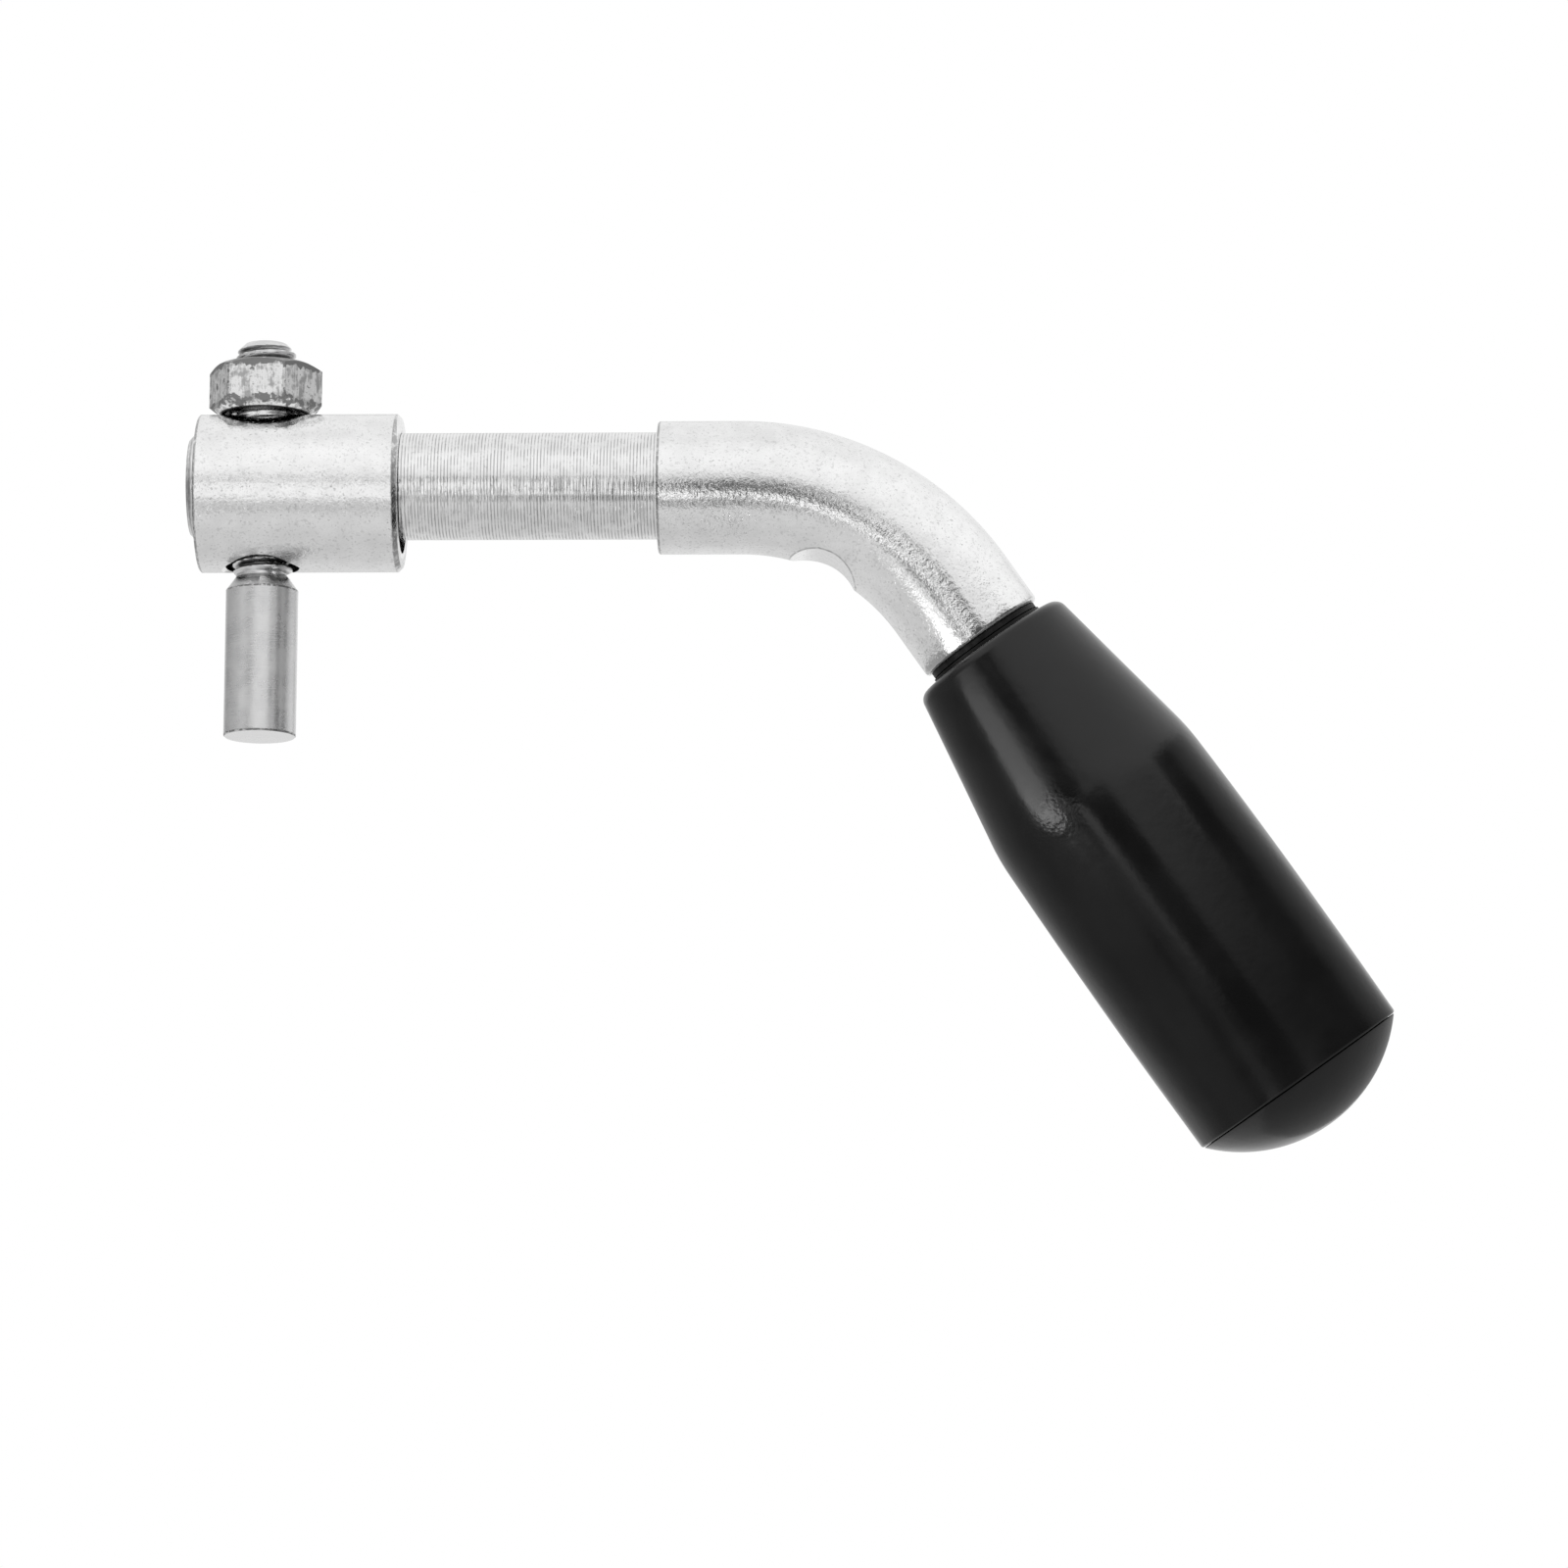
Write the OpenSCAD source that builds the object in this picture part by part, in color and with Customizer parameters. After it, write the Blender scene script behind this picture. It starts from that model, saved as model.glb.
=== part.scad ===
// Stove door handle with a locking stud on its shaft and a turning grip on its bent arm.
// The shaft lies along X with its shoulder at the origin, the arm bends down in the XZ plane,
// and the stud stands across the shaft, turned a little about it.

/* [Shaft] */
// Diameter of the turned shaft
shaft_d = 10.7; // [9:0.1:12.5]
// Bare length of the shaft between its shoulder and the collar
journal_l = 25.7; // [12:0.1:60]
// Length of the shaft that stands out past the collar
shaft_overrun = 0.95; // [0.6:0.05:6]
// Chamfer at the end of the shaft
shaft_chamfer = 0.55; // [0.1:0.05:1.5]

/* [Arm] */
// Diameter of the bar, which is the arm's full thickness
arm_d = 13.3; // [13:0.1:18]
// Chamfer on the edge of the shoulder
shoulder_chamfer = 0.15; // [0.05:0.05:0.25]
// Distance of the bar's axis below the shaft's, which is turned slightly off centre
arm_drop = 0.2; // [0:0.05:0.4]
// Straight length of the arm between the shoulder and the bend
arm_start_l = 8.3; // [2:0.1:40]
// Radius of the bend at the middle of the bar
bend_r = 25.6; // [18:0.1:60]
// Angle that the bar is bent down by
bend_angle = 54.6; // [35:0.1:90]
// Straight length of the arm after the bend
arm_end_l = 5.4; // [2:0.1:40]
// Rounding of the arm's end
arm_end_r = 0.5; // [0.1:0.05:1]

/* [Notch inside the bend] */
// Diameter of the cylindrical notch
notch_d = 9; // [5:0.1:16]
// Depth of the notch below the bar's surface
notch_depth = 1.4; // [0.3:0.05:3]
// Angle along the bend at which the notch is cut
notch_at = 25.6; // [10:0.2:27]
// Turn of the notch about the bar
notch_turn = 4.5; // [-15:0.5:15]

/* [Collar] */
// Diametral play of the collar on the shaft
collar_play = 1.36; // [0.1:0.02:2]
// Wall of the collar
collar_wall = 1.88; // [1:0.02:4]
// Length of the collar
collar_l = 20.2; // [15:0.1:40]
// Chamfer on the collar's edge towards the shoulder
collar_chamfer = 0.4; // [0.1:0.05:0.8]
// Chamfer on the collar's edge at the end of the shaft
collar_end_chamfer = 0.15; // [0.05:0.05:0.8]
// Diametral play of the stud in the collar's cross hole
cross_play = 1.3; // [0.2:0.05:2]
// Width of the chamfer round the mouths of the cross hole
cross_chamfer = 0.35; // [0.1:0.05:0.6]

/* [Locking stud and nut] */
// Nominal diameter of the stud's thread
thread_d = 6; // [4:0.5:7]
// Distance of the stud's axis from the collar's outer end
stud_inset = 6.35; // [6:0.05:9]
// Turn of the stud about the shaft, with its lower end towards the viewer
stud_turn = 7; // [-30:0.5:30]
// Length of thread above the nut
thread_over_nut = 2.35; // [1:0.05:12]
// Chamfer at the thread's upper end
thread_chamfer = 0.9; // [0.2:0.05:1]
// Diameter of the neck under the thread
neck_d = 5.3; // [3:0.1:5.5]
// Length of the neck
neck_l = 0.8; // [0.3:0.1:3]
// Distance of the neck's lower end from the collar
neck_drop = 0.77; // [0.4:0.05:3]
// Diameter of the plain latch pin
pin_d = 7.2; // [5.6:0.1:12]
// Length of the plain latch pin
pin_l = 14.8; // [4:0.1:40]
// Length of the cone between the neck and the pin
pin_cone_l = 1.3; // [0.3:0.1:3]
// Width of the nut across its flats
nut_af = 10; // [10:0.5:13]
// Height of the nut
nut_h = 5; // [2.5:0.1:8]
// Depth of the countersink at each end of the nut's bore
nut_sink = 0.4; // [0.1:0.05:0.6]
// Diameter of the nut's flat faces, as a share of its width across flats
nut_face = 0.95; // [0.8:0.01:1]
// Turn of the nut on the thread
nut_turn = -4.9; // [-30:0.1:30]

/* [Grip] */
// Length of the moulded grip body
grip_l = 52.85; // [45:0.05:110]
// Largest diameter of the grip
grip_d = 23.6; // [22:0.1:30]
// Diameter that the taper starts from at the neck
grip_neck_d = 16.8; // [15:0.05:18]
// Half angle of the taper
taper_angle = 9.76; // [8:0.02:14]
// Rounding of the edge at the neck
neck_edge_r = 1.2; // [0.3:0.05:2]
// Radius that blends the taper into the barrel
shoulder_r = 24; // [4:0.5:40]
// Radius of the barrel's outline
crown_r = 750; // [450:10:2000]
// Distance of the largest diameter from the grip's end
crown_back = 13.3; // [2:0.1:20]
// Rounding of the grip body's edge at the seam
seam_edge_r = 0.25; // [0.05:0.05:0.5]
// Diameter of the recess in the grip's end
recess_d = 16; // [15:0.1:18]
// Depth of the recess in the grip's end
recess_l = 9; // [8.6:0.1:20]

/* [Grip cap] */
// Step from the grip body's edge in to the cap's edge
cap_step = 0.2; // [0.05:0.05:0.6]
// Height of the cap's dome
cap_h = 5.25; // [3:0.05:9]
// Wall of the dome
cap_wall = 2; // [1:0.1:2.8]
// Length of the plug that holds the cap in the recess
plug_l = 4; // [2:0.1:4.5]
// Wall of the plug
plug_wall = 1.6; // [1:0.1:3]

/* [Spindle and its rings] */
// Diameter of the spindle where the grip turns on it
spindle_d = 9; // [8.2:0.1:10]
// Nominal diameter of the spindle's thread in the arm
spindle_thread_d = 8; // [6:0.5:8]
// Length of the spindle's thread
spindle_thread_l = 10; // [5:0.5:11]
// Depth of the arm's tapped hole past the end of the spindle's thread
hole_over_thread = 1.5; // [0.5:0.1:2]
// Length of the spindle past the groove of its retaining ring
spindle_over_ring = 1.5; // [0.8:0.1:2]
// Chamfer on the ends of the spindle
spindle_chamfer = 0.6; // [0.2:0.05:0.7]
// Diameter of the spindle's flange
flange_d = 12.3; // [11.5:0.1:12.8]
// Thickness of the spindle's flange
flange_t = 0.5; // [0.4:0.05:1.5]
// Diameter of the thrust washer
thrust_d = 12.6; // [11.5:0.1:14]
// Thickness of the thrust washer
thrust_t = 0.3; // [0.2:0.05:1]
// Diameter of the washer in the recess
end_washer_d = 14.4; // [13:0.1:14.6]
// Thickness of the washer in the recess
end_washer_t = 1; // [0.5:0.1:1.5]
// Thickness of the retaining ring
ring_t = 1; // [0.5:0.1:1.2]
// Radial width of the retaining ring
ring_w = 1.9; // [1:0.1:2.2]
// Depth of the ring's groove in the spindle
groove_depth = 0.2; // [0.1:0.05:0.4]
// Opening of the retaining ring, as an angle
ring_gap_angle = 60; // [30:5:90]

/* [Clearances] */
// Radial clearance of the grip on its spindle
bearing_gap = 0.05; // [0.02:0.01:0.1]
// Clearance between faces that turn past each other
thrust_gap = 0.12; // [0.05:0.01:0.2]
// Clearance between pieces that are fastened together
seat_gap = 0.02; // [0.01:0.01:0.04]

/* [Hidden] */
$fn = 96;

// Steps of a rounded edge and of a long, shallow curve
edge_steps = 6;
curve_steps = 10;
// Hair's breadth by which the arm's straight end is finer than the bend that it runs into,
// and how far it runs in
tip_step = 0.01;
tip_run_in = 0.5;
// Extra length of a cutting body past the face that it cuts
over = 1;

// Shaft, collar and stud, with heights along the stud measured from the shaft's axis
collar_bore_r = (shaft_d + collar_play) / 2;
collar_r = collar_bore_r + collar_wall;
collar_drop = collar_play / 2 - seat_gap;
shaft_l = journal_l + collar_l + shaft_overrun;
stud_x = -(journal_l + collar_l - stud_inset);
cross_r = (thread_d + cross_play) / 2;
collar_top = collar_r - collar_drop;
collar_bottom = -collar_r - collar_drop;
nut_bottom = collar_top + seat_gap;
stud_top = nut_bottom + nut_h + thread_over_nut;
cone_top = collar_bottom - neck_drop;
pin_top = cone_top - pin_cone_l;
pin_tip = pin_top - pin_l;
tapped_r = thread_d / 2 + seat_gap;

// Arm and the axis of the grip, which starts at the centre of the arm's end
arm_r = arm_d / 2;
notch_centre_r = bend_r - arm_r + notch_depth - notch_d / 2;
grip_dir = [cos(bend_angle), 0, -sin(bend_angle)];
bend_centre = [arm_start_l, 0, -arm_drop - bend_r];
bend_end = bend_centre + bend_r * [sin(bend_angle), 0, cos(bend_angle)];
arm_end = bend_end + arm_end_l * grip_dir;
spindle_hole_l = spindle_thread_l + hole_over_thread;

// Heights along the grip's axis, from the arm's end
thrust_z = flange_t + thrust_gap;
grip_z = thrust_z + thrust_t + thrust_gap;
seam_z = grip_z + grip_l;
recess_z = seam_z - recess_l;
end_washer_z = recess_z + thrust_gap;
ring_z = end_washer_z + end_washer_t + seat_gap;
groove_end_z = ring_z + ring_t + 2 * seat_gap;
spindle_end_z = groove_end_z + spindle_over_ring;
groove_r = spindle_d / 2 - groove_depth;

// Outline of the grip, as radius and height above the grip's neck face
grip_bore_r = spindle_d / 2 + bearing_gap;
taper_along = [sin(taper_angle), cos(taper_angle)];
taper_out = [cos(taper_angle), -sin(taper_angle)];
crown_z = grip_l - crown_back;
crown_centre = [grip_d / 2 - crown_r, crown_z];
blend_from = [grip_neck_d / 2, 0] - shoulder_r * taper_out - crown_centre;
blend_b = blend_from * taper_along;
blend_c = blend_from * blend_from - pow(crown_r - shoulder_r, 2);
blend_offset = blend_from + (-blend_b + sqrt(blend_b * blend_b - blend_c)) * taper_along;
blend_centre = crown_centre + blend_offset;
blend_angle = atan2(blend_offset[1], blend_offset[0]);
crown_end_angle = asin((crown_back - seam_edge_r) / crown_r);
seam_r = crown_centre[0] + crown_r * cos(crown_end_angle);
neck_edge_x = grip_neck_d / 2 - neck_edge_r * cos(taper_angle)
    + neck_edge_r * (1 - sin(taper_angle)) * tan(taper_angle);
grip_outline = concat(
    arc([neck_edge_x, neck_edge_r], neck_edge_r, -90, -taper_angle, edge_steps),
    arc(blend_centre, shoulder_r, -taper_angle, blend_angle, edge_steps),
    arc(crown_centre, crown_r, blend_angle + 0.05, crown_end_angle, curve_steps),
    arc([seam_r - seam_edge_r, grip_l - seam_edge_r], seam_edge_r, 10, 90, edge_steps)
);

// Cap, whose dome is part of a ball
cap_r = seam_r - cap_step;
dome_r = (cap_r * cap_r + cap_h * cap_h) / (2 * cap_h);
plug_r = recess_d / 2 - seat_gap;

// Points along a circular arc, in a plane
function arc(centre, r, from, to, steps) =
    [for (i = [0:steps]) let (a = from + (to - from) * i / steps) centre + r * [cos(a), sin(a)]];

// Frame of the stud: its origin on the shaft's axis, its Z axis up along the thread
module at_stud() {
    translate([stud_x, 0, 0]) rotate([-stud_turn, 0, 0]) children();
}

// Frame of the grip: its origin at the centre of the arm's end, its Z axis along the grip
module at_grip() {
    translate(arm_end) rotate([0, 90 + bend_angle, 0]) children();
}

// Round bar with chamfered ends, standing on its lower end
module chamfered_bar(r, l, low, high) {
    rotate_extrude() polygon([
        [0, 0], [r - low, 0], [r, low], [r, l - high], [r - high, l], [0, l]
    ]);
}

// Flat ring, standing on its lower face
module flat_ring(outer_r, inner_r, t) {
    difference() {
        cylinder(r = outer_r, h = t);
        translate([0, 0, -over]) cylinder(r = inner_r, h = t + 2 * over);
    }
}

// Turned shaft, which runs from its chamfered end a little way into the arm
module shaft() {
    translate([-shaft_l, 0, 0]) rotate([0, 90, 0])
        chamfered_bar(shaft_d / 2, shaft_l + shaft_chamfer + over, shaft_chamfer, shaft_chamfer);
}

// Straight start of the arm, whose face is the shoulder
module arm_start() {
    translate([0, 0, -arm_drop]) rotate([0, 90, 0])
        rotate_extrude() polygon([
            [0, 0], [arm_r - shoulder_chamfer, 0], [arm_r, shoulder_chamfer],
            [arm_r, arm_start_l], [0, arm_start_l]
        ]);
}

// Bent stretch of the arm, turned about the bend's centre
module bend() {
    translate(bend_centre) rotate([90, 0, 0])
        rotate_extrude(angle = bend_angle, start = 90 - bend_angle)
            translate([bend_r, 0]) circle(r = arm_r);
}

// Straight end of the arm, with its rim rounded
module arm_tip() {
    tip_r = arm_r - tip_step;
    at_grip() rotate_extrude() polygon(concat(
        [[0, -arm_end_l - tip_run_in], [tip_r, -arm_end_l - tip_run_in]],
        arc([tip_r - arm_end_r, -arm_end_r], arm_end_r, 0, 90, edge_steps),
        [[0, 0]]
    ));
}

// Cylinder that cuts the notch, turned about the bar where it lies
module notch() {
    translate(bend_centre) rotate([0, notch_at, 0])
        translate([0, 0, bend_r]) rotate([-notch_turn, 0, 0])
            translate([0, 0, notch_centre_r - bend_r]) rotate([90, 0, 0])
                cylinder(d = notch_d, h = 2 * arm_d, center = true);
}

module handle_rod() {
    color("gainsboro") difference() {
        union() {
            shaft();
            arm_start();
            bend();
            arm_tip();
        }
        at_stud() cylinder(r = tapped_r, h = 2 * shaft_d, center = true);
        at_grip() translate([0, 0, -spindle_hole_l])
            cylinder(r = spindle_thread_d / 2 + seat_gap, h = spindle_hole_l + over);
        notch();
    }
}

// The sleeve hangs on the shaft, pulled down until its bore seats on the shaft's top
module latch_collar() {
    color("gainsboro") difference() {
        rotate([-stud_turn, 0, 0]) translate([-(journal_l + collar_l), 0, -collar_drop])
            rotate([0, 90, 0]) difference() {
                chamfered_bar(collar_r, collar_l, collar_end_chamfer, collar_chamfer);
                translate([0, 0, -over]) cylinder(r = collar_bore_r, h = collar_l + 2 * over);
            }
        at_stud() {
            cylinder(r = cross_r, h = 3 * collar_r, center = true);
            for (side = [0, 1]) translate([0, 0, -collar_drop]) mirror([0, 0, side])
                translate([0, 0, collar_r - cross_chamfer])
                    cylinder(r1 = cross_r, r2 = cross_r + 2 * cross_chamfer, h = 2 * cross_chamfer);
        }
    }
}

// Turned in one piece: chamfered thread, neck, cone and plain pin
module latch_stud() {
    color("silver") at_stud() rotate_extrude() polygon([
        [0, pin_tip], [pin_d / 2, pin_tip], [pin_d / 2, pin_top], [neck_d / 2, cone_top],
        [neck_d / 2, cone_top + neck_l], [thread_d / 2, cone_top + neck_l + (thread_d - neck_d) / 2],
        [thread_d / 2, stud_top - thread_chamfer], [thread_d / 2 - thread_chamfer, stud_top],
        [0, stud_top]
    ]);
}

// Hexagon with both faces chamfered to a circle, and a countersunk bore
module lock_nut() {
    corner_r = nut_af / 2 / cos(30);
    face_r = nut_face * nut_af / 2;
    chamfer_h = (corner_r - face_r) * tan(30);
    color("silver") at_stud() translate([0, 0, nut_bottom]) difference() {
        intersection() {
            rotate(nut_turn) cylinder(r = corner_r, h = nut_h, $fn = 6);
            rotate_extrude() polygon([
                [0, 0], [face_r, 0], [corner_r + over, chamfer_h + over * tan(30)],
                [corner_r + over, nut_h - chamfer_h - over * tan(30)], [face_r, nut_h], [0, nut_h]
            ]);
        }
        translate([0, 0, -over]) cylinder(r = tapped_r, h = nut_h + 2 * over);
        for (side = [0, 1]) translate([0, 0, nut_h / 2]) mirror([0, 0, side])
            translate([0, 0, nut_h / 2 - nut_sink])
                cylinder(r1 = tapped_r, r2 = tapped_r + 2 * nut_sink, h = 2 * nut_sink);
    }
}

// Threaded end in the arm, thin flange, bearing length and ring groove
module grip_spindle() {
    thread_r = spindle_thread_d / 2;
    bearing_r = spindle_d / 2;
    color("dimgray") at_grip() rotate_extrude() polygon([
        [0, -spindle_thread_l], [thread_r - spindle_chamfer, -spindle_thread_l],
        [thread_r, -spindle_thread_l + spindle_chamfer], [thread_r, seat_gap],
        [flange_d / 2, seat_gap], [flange_d / 2, flange_t], [bearing_r, flange_t],
        [bearing_r, ring_z - seat_gap], [groove_r, ring_z - seat_gap],
        [groove_r, groove_end_z - seat_gap], [bearing_r, groove_end_z - seat_gap],
        [bearing_r, spindle_end_z - spindle_chamfer], [bearing_r - spindle_chamfer, spindle_end_z],
        [0, spindle_end_z]
    ]);
}

module thrust_washer() {
    color("black") at_grip() translate([0, 0, thrust_z])
        flat_ring(thrust_d / 2, grip_bore_r, thrust_t);
}

// Moulded grip: its outline turned about the spindle, with a bearing bore and an end recess
module grip_body() {
    color([0.13, 0.13, 0.14]) at_grip() translate([0, 0, grip_z]) rotate_extrude() polygon(concat(
        [[grip_bore_r, 0]],
        grip_outline,
        [[recess_d / 2, grip_l], [recess_d / 2, grip_l - recess_l], [grip_bore_r, grip_l - recess_l]]
    ));
}

// Domed shell with a hollow plug that is pressed into the recess
module grip_cap() {
    color([0.15, 0.15, 0.16]) at_grip() translate([0, 0, seam_z + seat_gap]) difference() {
        union() {
            intersection() {
                translate([0, 0, cap_h - dome_r]) sphere(r = dome_r);
                cylinder(r = dome_r, h = cap_h + over);
            }
            translate([0, 0, -plug_l]) cylinder(r = plug_r, h = plug_l + over);
        }
        intersection() {
            translate([0, 0, cap_h - dome_r]) sphere(r = dome_r - cap_wall);
            translate([0, 0, -plug_l - over])
                cylinder(r = plug_r - plug_wall, h = plug_l + cap_h + over);
        }
    }
}

module end_washer() {
    color("silver") at_grip() translate([0, 0, end_washer_z])
        flat_ring(end_washer_d / 2, grip_bore_r, end_washer_t);
}

// Open spring ring, sprung into the groove
module retaining_ring() {
    color("dimgray") at_grip() translate([0, 0, ring_z])
        rotate_extrude(angle = 360 - ring_gap_angle, start = ring_gap_angle / 2)
            translate([groove_r + seat_gap, 0]) square([ring_w, ring_t]);
}

handle_rod();
latch_collar();
latch_stud();
lock_nut();
grip_spindle();
thrust_washer();
grip_body();
grip_cap();
end_washer();
retaining_ring();
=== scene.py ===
import math

import bmesh
import bpy
from mathutils import Matrix, Vector, noise


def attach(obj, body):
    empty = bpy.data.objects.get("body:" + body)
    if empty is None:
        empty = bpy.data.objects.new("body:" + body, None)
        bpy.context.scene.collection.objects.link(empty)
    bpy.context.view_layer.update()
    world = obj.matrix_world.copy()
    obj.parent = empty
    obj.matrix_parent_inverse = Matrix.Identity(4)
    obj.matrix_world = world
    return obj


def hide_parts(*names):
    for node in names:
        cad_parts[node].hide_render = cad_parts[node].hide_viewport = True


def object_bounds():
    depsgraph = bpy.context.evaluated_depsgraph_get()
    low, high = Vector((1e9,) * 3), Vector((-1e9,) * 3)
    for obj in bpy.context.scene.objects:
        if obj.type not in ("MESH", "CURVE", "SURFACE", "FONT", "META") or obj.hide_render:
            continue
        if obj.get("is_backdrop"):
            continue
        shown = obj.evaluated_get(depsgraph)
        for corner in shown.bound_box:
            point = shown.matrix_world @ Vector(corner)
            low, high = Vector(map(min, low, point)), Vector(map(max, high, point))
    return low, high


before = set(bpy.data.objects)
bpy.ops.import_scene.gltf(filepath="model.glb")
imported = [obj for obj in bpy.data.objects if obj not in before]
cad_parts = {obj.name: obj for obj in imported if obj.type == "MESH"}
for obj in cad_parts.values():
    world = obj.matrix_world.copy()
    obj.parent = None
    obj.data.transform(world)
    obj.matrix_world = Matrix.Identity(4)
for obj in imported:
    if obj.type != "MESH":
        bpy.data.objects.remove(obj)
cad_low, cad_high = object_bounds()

MM = 0.001


# Photographic table: a wide sheet of pale card under the handle, with the studio's white all round.
# The camera looks at the handle from the front, a little from below, through a long lens.
scene = bpy.context.scene
scene.view_settings.view_transform = "Standard"

table_drop = 110 * MM
table_half = 900 * MM
table_z = cad_low.z - table_drop


class Value:
    """A shader socket that takes part in Python sums."""

    def __init__(self, shader, socket):
        self.shader = shader
        self.socket = socket

    def sum(self, operation, *others):
        return self.shader.node("Math", {"operation": operation}, *others)

    def __add__(self, other):
        return self.sum("ADD", self, other)

    def __radd__(self, other):
        return self.sum("ADD", other, self)

    def __sub__(self, other):
        return self.sum("SUBTRACT", self, other)

    def __rsub__(self, other):
        return self.sum("SUBTRACT", other, self)

    def __mul__(self, other):
        return self.sum("MULTIPLY", self, other)

    def __rmul__(self, other):
        return self.sum("MULTIPLY", other, self)

    def __truediv__(self, other):
        return self.sum("DIVIDE", self, other)

    def __rtruediv__(self, other):
        return self.sum("DIVIDE", other, self)

    def __gt__(self, other):
        return self.sum("GREATER_THAN", self, other)

    def __lt__(self, other):
        return self.sum("LESS_THAN", self, other)

    def clamp(self):
        return self.shader.node("Clamp", {}, self)

    def other(self, out):
        """Another output of the same node."""
        return Value(self.shader, self.socket.node.outputs[out])

    def step(self, low, high):
        """Rises smoothly from 0 at low to 1 at high, or falls where low is the larger."""
        return self.shader.node(
            "MapRange", {"interpolation_type": "SMOOTHSTEP"}, self, low, high, 0.0, 1.0)

    def within(self, low, high, soft):
        """1 between low and high and 0 outside, with edges of the softness given."""
        return self.step(low - soft, low + soft) * self.step(high + soft, high - soft)


def grey(level):
    return (level, level, level, 1.0)


class Shader:
    """A node tree, to which node() adds one node at a time."""

    def __init__(self, owner):
        owner.use_nodes = True
        self.tree = owner.node_tree
        self.tree.nodes.clear()

    def node(self, kind, settings, *values, out=0, **named):
        """Adds a node, sets it up, then fills its sockets in order or by name."""
        made = self.tree.nodes.new("ShaderNode" + kind)
        for key, value in settings.items():
            if key == "stops":
                ramp = made.color_ramp.elements
                while len(ramp) < len(value):
                    ramp.new(1.0)
                for stop, (place, level) in zip(ramp, value):
                    stop.position = place
                    stop.color = grey(level)
            else:
                setattr(made, key, value)
        sockets = list(zip(made.inputs, values))
        in_use = [socket for socket in made.inputs if socket.enabled]
        for key, value in named.items():
            name = key.replace("_", " ")
            sockets.append((next(socket for socket in in_use if socket.name == name), value))
        for socket, value in sockets:
            if isinstance(value, Value):
                self.tree.links.new(value.socket, socket)
            else:
                socket.default_value = value
        return Value(self, made.outputs[out]) if made.outputs else None

    def blend(self, factor, one, other):
        """A colour between two others: the first at factor 0, the second at factor 1."""
        return self.node("Mix", {"data_type": "RGBA"}, Factor=factor, A=one, B=other, out=2)


# The card fades into the white round it, and from below it is not seen at all
table_fade = 240 * MM
table_white = 620 * MM
white_card = bpy.data.materials.new("white_card")
card = Shader(white_card)
spot = card.node("TexCoord", {}, out=3)
card_fibre = card.node("TexNoise", {}, Vector=spot, Scale=700.0, Detail=3.0)
card_tone = card.blend(card_fibre.step(0.3, 0.7), grey(0.84), grey(0.88))
far_out = card.node("VectorMath", {"operation": "LENGTH"}, spot, out=1)
table_top = card.node(
    "MixShader", {}, far_out.step(table_fade, table_white), card.node("BsdfDiffuse", {}, card_tone),
    card.node("Emission", {}, grey(1.0), 1.0))
from_below = card.node("NewGeometry", {}, out=6)
card.node("OutputMaterial", {}, card.node(
    "MixShader", {}, from_below, table_top, card.node("BsdfTransparent", {})))

table_mesh = bpy.data.meshes.new("table")
table_mesh.from_pydata(
    [(x * table_half, y * table_half, table_z) for x, y in ((-1, -1), (1, -1), (1, 1), (-1, 1))],
    [], [(0, 1, 2, 3)])
table_mesh.materials.append(white_card)
table = bpy.data.objects.new("table", table_mesh)
table.visible_glossy = False
scene.collection.objects.link(table)
table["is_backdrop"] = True

# Light tent round the table: a white roof and back wall, a duller floor cloth, grey side walls with
# lighter and darker bands, and dark gaps to the left of the place that pictures are taken from.
studio = bpy.data.worlds.new("studio")
scene.world = studio
sky = Shader(studio)
towards = sky.node("SeparateXYZ", {}, sky.node("TexCoord", {}, out=0))
to_right, to_back, to_top = towards, towards.other(1), towards.other(2)
degrees = 180 / math.pi
azimuth = sky.node("Math", {"operation": "ARCTAN2"}, to_right, 0.0 - to_back) * degrees
elevation = sky.node("Math", {"operation": "ARCSINE"}, to_top) * degrees

# Brightness of the tent by elevation, in degrees
tent_levels = [
    (-90, 0.61), (-60, 0.65), (-45, 0.69), (-28, 0.65), (-17, 0.60), (-13, 0.80), (-11, 0.97),
    (-2, 0.97), (8, 0.95), (15, 0.78), (22, 0.88), (30, 0.94), (40, 0.99), (60, 1.0), (75, 0.94),
    (90, 0.85)]
tent = sky.node(
    "ValToRGB", {"stops": [((height + 90) / 180, level) for height, level in tent_levels]},
    (elevation + 90.0) / 180.0)
back_wall_level = 0.90
back_wall = (azimuth * azimuth).step(120.0 ** 2, 160.0 ** 2) * elevation.within(-36.0, 90.0, 14.0)
glow = tent + back_wall * (back_wall_level - tent)

# Each patch: left and right azimuth, low and high elevation, softness of its edge, brightness. The
# angles are in degrees, seen from the handle, and azimuth 0 is towards the camera.
tent_patches = [
    (-180, -124, -50, 24, 8.0, 0.72),
    (104, 150, -18, 24, 6.0, 0.52),
    (42, 104, -18, 24, 8.0, 0.43),
    (-150, -34, 4, 24, 5.0, 0.58),
    (-140, -66, -18, 10, 5.0, 0.34),
    (-112, -38, -40, -19, 5.0, 0.62),
    (-38, -15, -26, -14, 4.0, 0.80),
    (-40, -17, -1, 15, 3.0, 0.06),
    (-29, -19, -20, 0, 1.5, 0.20),
]
for left, right, low, high, soft, level in tent_patches:
    patch = azimuth.within(left, right, soft) * elevation.within(low, high, soft)
    glow = glow + patch * (level - glow)

tent_glow = sky.node("Background", {}, grey(1.0), glow)
white_glow = sky.node("Background", {}, grey(1.0), 1.0)
seen = sky.node("LightPath", {}, out=0)
sky.node("OutputWorld", {}, sky.node("MixShader", {}, seen, tent_glow, white_glow))

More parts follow.
